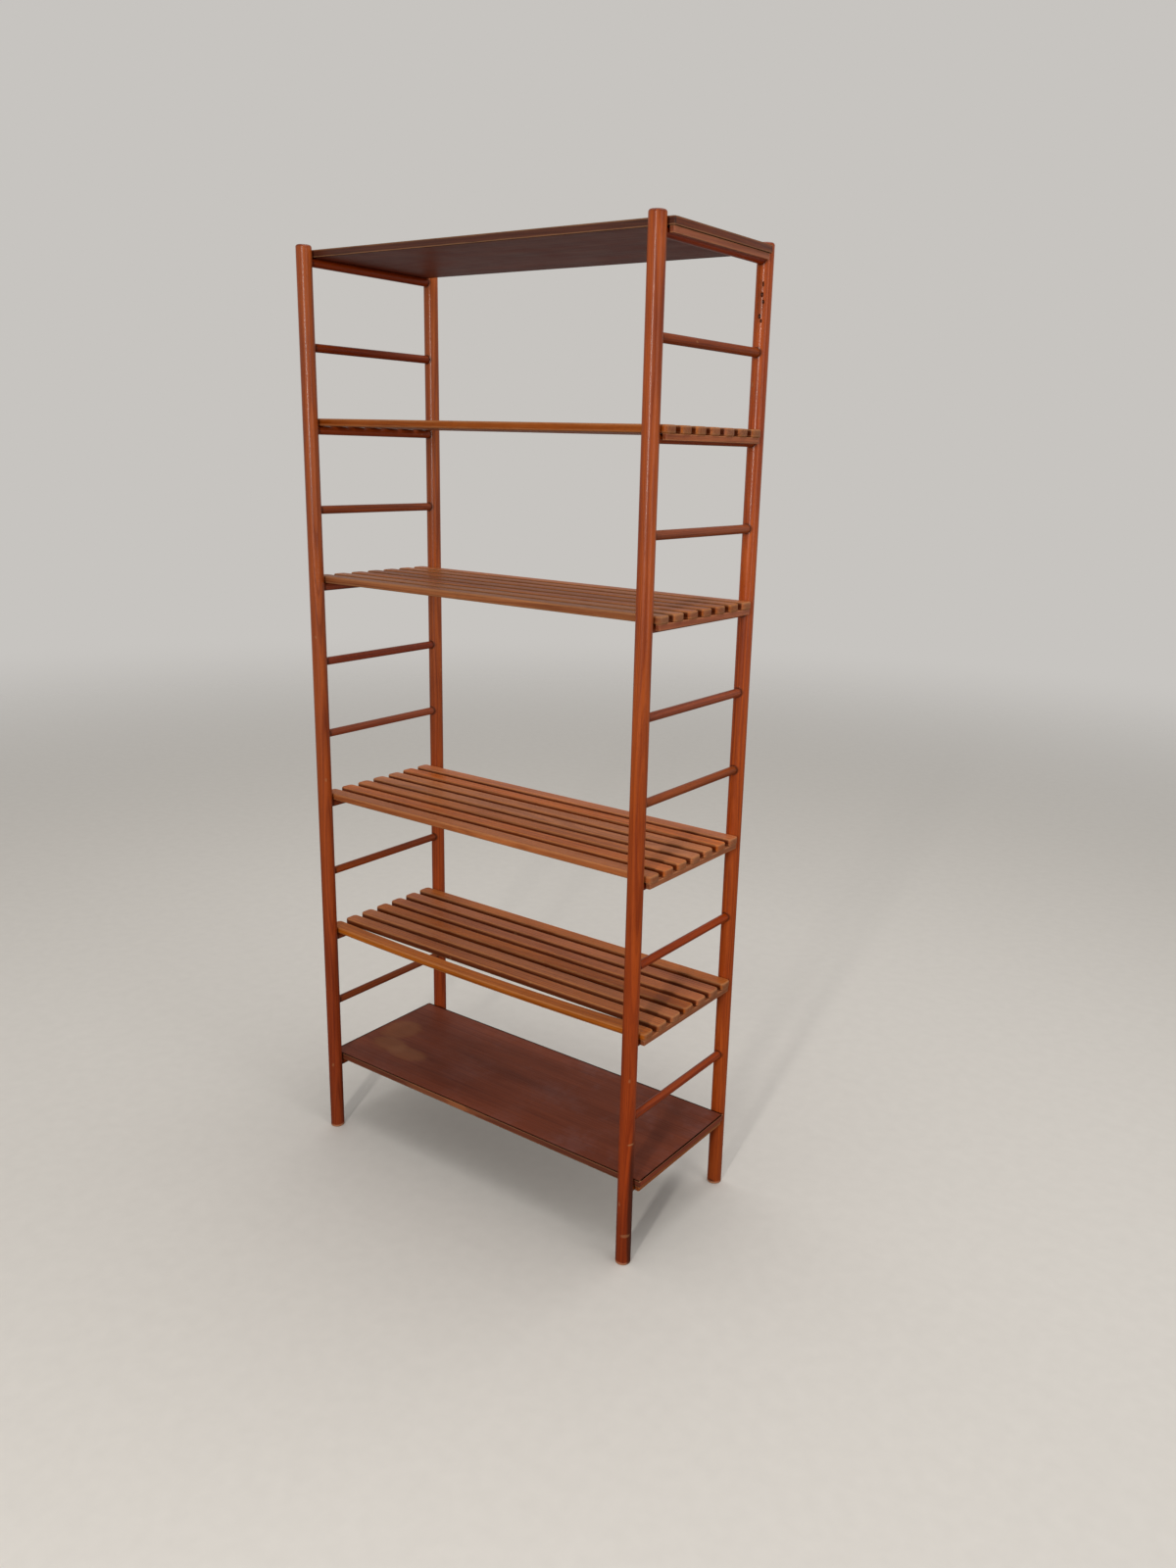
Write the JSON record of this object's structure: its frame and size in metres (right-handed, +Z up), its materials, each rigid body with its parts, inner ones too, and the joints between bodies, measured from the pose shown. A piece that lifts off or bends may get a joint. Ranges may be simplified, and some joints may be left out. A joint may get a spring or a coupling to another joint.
{
  "type": "ladder shelf",
  "caption": "Tall freestanding open shelf unit: round-post ladders with round rungs carry loose slatted decks and solid end panels that hook over the rungs.",
  "frame": {"origin": "on the floor, under the centre of the unit", "axes": "+Z up along the posts, +X along the shelves to the right seen from the front, +Y from the front to the wall side"},
  "size_m": [0.886, 0.387, 1.95],
  "materials": {
    "post_wood": "semi-gloss orange-brown lacquered hardwood, straight grain along the post",
    "rung_wood": "satin orange-brown hardwood dowel",
    "slat_wood": "satin golden-brown solid wood, eased edges",
    "batten_wood": "plain planed wood, slightly paler",
    "panel_veneer": "dark red-brown veneered board, worn satin lacquer"
  },
  "bodies": {
    "ladders": {"post_front_left": "post_wood", "post_rear_left": "post_wood", "post_front_right": "post_wood", "post_rear_right": "post_wood", "rung_left_01": "rung_wood", "rung_left_02": "rung_wood", "rung_left_03": "rung_wood", "rung_left_04": "rung_wood", "rung_left_05": "rung_wood", "rung_left_06": "rung_wood", "rung_left_07": "rung_wood", "rung_left_08": "rung_wood", "rung_left_09": "rung_wood", "rung_left_10": "rung_wood", "rung_left_11": "rung_wood", "rung_left_12": "rung_wood", "rung_right_01": "rung_wood", "rung_right_02": "rung_wood", "rung_right_03": "rung_wood", "rung_right_04": "rung_wood", "rung_right_05": "rung_wood", "rung_right_06": "rung_wood", "rung_right_07": "rung_wood", "rung_right_08": "rung_wood", "rung_right_09": "rung_wood", "rung_right_10": "rung_wood", "rung_right_11": "rung_wood", "rung_right_12": "rung_wood"},
    "bottom_shelf": {"bottom_panel": "panel_veneer", "bottom_panel_batten_left": "batten_wood", "bottom_panel_batten_right": "batten_wood"},
    "lower_shelf": {"lower_deck_frame": "slat_wood", "lower_deck_slat_2": "slat_wood", "lower_deck_slat_3": "slat_wood", "lower_deck_slat_4": "slat_wood", "lower_deck_slat_5": "slat_wood", "lower_deck_slat_6": "slat_wood"},
    "middle_shelf": {"middle_deck_frame": "slat_wood", "middle_deck_slat_2": "slat_wood", "middle_deck_slat_3": "slat_wood", "middle_deck_slat_4": "slat_wood", "middle_deck_slat_5": "slat_wood", "middle_deck_slat_6": "slat_wood"},
    "upper_shelf": {"upper_deck_frame": "slat_wood", "upper_deck_slat_2": "slat_wood", "upper_deck_slat_3": "slat_wood", "upper_deck_slat_4": "slat_wood", "upper_deck_slat_5": "slat_wood", "upper_deck_slat_6": "slat_wood"},
    "high_shelf": {"high_deck_frame": "slat_wood", "high_deck_slat_2": "slat_wood", "high_deck_slat_3": "slat_wood", "high_deck_slat_4": "slat_wood", "high_deck_slat_5": "slat_wood", "high_deck_slat_6": "slat_wood"},
    "top_shelf": {"top_panel": "panel_veneer", "top_panel_batten_left": "batten_wood", "top_panel_batten_right": "batten_wood"}
  },
  "joints": [
    {"name": "bottom_shelf_lift", "type": "slide", "parent": "ladders", "child": "bottom_shelf", "axis": [0, 0, 1], "range_m": [0, 0.125]},
    {"name": "lower_shelf_lift", "type": "slide", "parent": "ladders", "child": "lower_shelf", "axis": [0, 0, 1], "range_m": [0, 0.125]},
    {"name": "middle_shelf_lift", "type": "slide", "parent": "ladders", "child": "middle_shelf", "axis": [0, 0, 1], "range_m": [0, 0.125]},
    {"name": "upper_shelf_lift", "type": "slide", "parent": "ladders", "child": "upper_shelf", "axis": [0, 0, 1], "range_m": [0, 0.125]},
    {"name": "high_shelf_lift", "type": "slide", "parent": "ladders", "child": "high_shelf", "axis": [0, 0, 1], "range_m": [0, 0.125]},
    {"name": "top_shelf_lift", "type": "slide", "parent": "ladders", "child": "top_shelf", "axis": [0, 0, 1], "range_m": [0, 0.1]}
  ]
}
